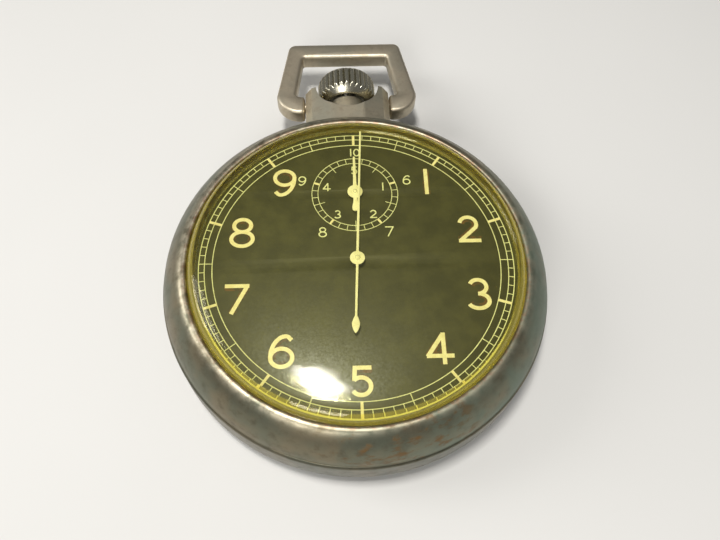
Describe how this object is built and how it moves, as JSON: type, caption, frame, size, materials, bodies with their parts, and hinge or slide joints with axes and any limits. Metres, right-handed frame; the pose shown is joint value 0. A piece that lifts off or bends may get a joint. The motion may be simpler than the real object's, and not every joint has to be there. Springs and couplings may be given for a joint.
{
  "type": "pocket stopwatch",
  "caption": "Hand-wound open-face pocket stopwatch with a domed crystal, black dial with a small register, fluted crown and a swinging stirrup bow.",
  "frame": {"origin": "centre of the flat back that the case rests on", "axes": "+Z out of the dial, +Y from the dial's centre towards the crown, +X right as the dial is read"},
  "size_m": [0.0516, 0.0675, 0.0152],
  "materials": {
    "worn_nickel": "worn nickel plating, dull grey-brown, with bright rubbed edges",
    "aged_acrylic": "domed acrylic, yellowed with age",
    "steel": "polished steel",
    "brass": "fine brushed brass",
    "gilt_plate": "gilt, fine matt grain",
    "ruby": "polished synthetic ruby",
    "dial_black": "matt black lacquer with pale printing",
    "hand_cream": "matt cream paint"
  },
  "bodies": {
    "case": {"bezel": "worn_nickel", "crystal": "aged_acrylic", "case_body": "worn_nickel", "back_cover": "worn_nickel", "pendant_neck": "worn_nickel", "pendant_sleeve": "worn_nickel", "crown_spring": "steel", "click_spring": "steel", "hairspring": "steel", "main_plate": "gilt_plate", "barrel_bridge": "gilt_plate", "train_bridge": "gilt_plate", "balance_cock": "gilt_plate", "pallet_cock": "gilt_plate", "barrel_bridge_screw_1": "steel", "barrel_bridge_screw_2": "steel", "barrel_bridge_screw_3": "steel", "train_bridge_screw_1": "steel", "train_bridge_screw_2": "steel", "train_bridge_screw_3": "steel", "balance_cock_screw": "steel", "crown_wheel_screw": "steel", "dial": "dial_black"},
    "bow": {"bow": "worn_nickel"},
    "press_collar": {"push_collar": "steel"},
    "crown": {"crown": "worn_nickel", "winding_stem": "steel"},
    "winding_pinion": {"winding_pinion": "steel"},
    "crown_wheel": {"crown_wheel": "steel"},
    "ratchet": {"ratchet_wheel": "steel", "ratchet_screw": "steel", "barrel_arbor": "steel"},
    "click": {"click": "steel"},
    "barrel": {"barrel": "brass", "barrel_cover": "brass", "mainspring": "steel"},
    "second": {"second_wheel": "brass", "second_arbor": "steel"},
    "third": {"third_wheel": "brass", "third_arbor": "steel"},
    "sweep": {"sweep_wheel": "brass", "sweep_arbor": "steel", "sweep_heart": "steel", "sweep_hand": "hand_cream"},
    "escape": {"escape_wheel": "steel", "escape_arbor": "steel"},
    "transfer": {"transfer_wheel": "brass", "transfer_arbor": "steel"},
    "register": {"register_wheel": "brass", "register_arbor": "steel", "register_heart": "steel", "register_hand": "hand_cream"},
    "fork": {"pallet_fork": "steel"},
    "balance": {"balance_wheel": "brass", "balance_staff": "steel", "roller_table": "ruby"},
    "operating_lever": {"operating_lever": "steel"},
    "column_wheel": {"column_wheel": "steel"},
    "reset_hammer": {"reset_hammer": "steel"},
    "brake_lever": {"brake_lever": "steel"}
  },
  "joints": [
    {"name": "bow_swing", "type": "hinge", "parent": "case", "child": "bow", "pos_m": [0, 0.0297, 0.0065], "axis": [1, 0, 0], "range_deg": [-110, 110]},
    {"name": "crown_press", "type": "slide", "parent": "case", "child": "press_collar", "axis": [0, -1, 0], "range_m": [0, 0.001], "stiffness_N_per_m": 2500, "springref_m": -0.0012, "deforming": ["crown_spring"]},
    {"name": "crown_turn", "type": "hinge", "parent": "press_collar", "child": "crown", "pos_m": [0, 0.03, 0.0065], "axis": [0, 1, 0], "continuous": true},
    {"name": "winding_pinion_turn", "type": "hinge", "parent": "case", "child": "winding_pinion", "pos_m": [0, 0.0161, 0.0065], "axis": [0, 1, 0], "continuous": true},
    {"name": "crown_wheel_turn", "type": "hinge", "parent": "case", "child": "crown_wheel", "pos_m": [0, 0.0112, 0.003], "axis": [0, 0, 1], "continuous": true},
    {"name": "ratchet_turn", "type": "hinge", "parent": "case", "child": "ratchet", "pos_m": [-0.0115, 0.006, 0.003], "axis": [0, 0, 1], "continuous": true},
    {"name": "click_swing", "type": "hinge", "parent": "case", "child": "click", "pos_m": [-0.01317, -0.00355, 0.003], "axis": [0, 0, 1], "range_deg": [-3, 3]},
    {"name": "sweep_turn", "type": "hinge", "parent": "case", "child": "sweep", "pos_m": [0, 0, 0.01235], "axis": [0, 0, -1], "continuous": true},
    {"name": "third_turn", "type": "hinge", "parent": "case", "child": "third", "pos_m": [-0.00207, -0.00389, 0.006], "axis": [0, 0, -1], "continuous": true},
    {"name": "second_turn", "type": "hinge", "parent": "case", "child": "second", "pos_m": [-0.00748, -0.0011, 0.007], "axis": [0, 0, -1], "continuous": true},
    {"name": "barrel_turn", "type": "hinge", "parent": "case", "child": "barrel", "pos_m": [-0.0115, 0.006, 0.0054], "axis": [0, 0, -1], "continuous": true},
    {"name": "escape_turn", "type": "hinge", "parent": "case", "child": "escape", "pos_m": [0.00458, -0.00167, 0.007], "axis": [0, 0, -1], "continuous": true},
    {"name": "transfer_turn", "type": "hinge", "parent": "case", "child": "transfer", "pos_m": [-0.00112, 0.00513, 0.0096], "axis": [0, 0, -1], "continuous": true},
    {"name": "register_turn", "type": "hinge", "parent": "case", "child": "register", "pos_m": [0.0002, 0.01055, 0.0118], "axis": [0, 0, -1], "continuous": true},
    {"name": "balance_swing", "type": "hinge", "parent": "case", "child": "balance", "pos_m": [0.0102, -0.0094, 0.0065], "axis": [0, 0, 1], "range_deg": [-220, 220], "stiffness_Nm_per_rad": 0.0000067},
    {"name": "fork_swing", "type": "hinge", "parent": "case", "child": "fork", "pos_m": [0.00679, -0.0047, 0.0073], "axis": [0, 0, 1], "range_deg": [-5.1, 5.1]},
    {"name": "operating_lever_swing", "type": "hinge", "parent": "case", "child": "operating_lever", "pos_m": [0.0054, 0.015, 0.0064], "axis": [0, 0, 1], "range_deg": [0, 11.6]},
    {"name": "column_wheel_step", "type": "hinge", "parent": "case", "child": "column_wheel", "pos_m": [0.009, 0.012, 0.0064], "axis": [0, 0, 1], "range_deg": [-30.2, 0]},
    {"name": "hammer_reset", "type": "hinge", "parent": "case", "child": "reset_hammer", "pos_m": [0.005, -0.014, 0.0106], "axis": [0, 0, 1], "range_deg": [0, 2.5]},
    {"name": "brake_swing", "type": "hinge", "parent": "case", "child": "brake_lever", "pos_m": [0.01, 0.0016, 0.0064], "axis": [0, 0, 1], "range_deg": [-1.4, 0]}
  ],
  "couplings": [
    {"joint": "winding_pinion_turn", "follows": "crown_turn", "ratio": 1},
    {"joint": "crown_wheel_turn", "follows": "crown_turn", "ratio": 0.46667},
    {"joint": "ratchet_turn", "follows": "crown_turn", "ratio": -0.33333},
    {"joint": "third_turn", "follows": "sweep_turn", "ratio": -0.16667},
    {"joint": "second_turn", "follows": "sweep_turn", "ratio": 0.027778},
    {"joint": "barrel_turn", "follows": "sweep_turn", "ratio": -0.0039683},
    {"joint": "escape_turn", "follows": "sweep_turn", "ratio": -3.3333},
    {"joint": "transfer_turn", "follows": "sweep_turn", "ratio": -0.16667},
    {"joint": "register_turn", "follows": "sweep_turn", "ratio": 0.033333},
    {"joint": "fork_swing", "follows": "balance_swing", "ratio": 0.022727},
    {"joint": "operating_lever_swing", "follows": "crown_press", "rad_per_m": 200.7},
    {"joint": "column_wheel_step", "follows": "crown_press", "rad_per_m": -523.6}
  ]
}
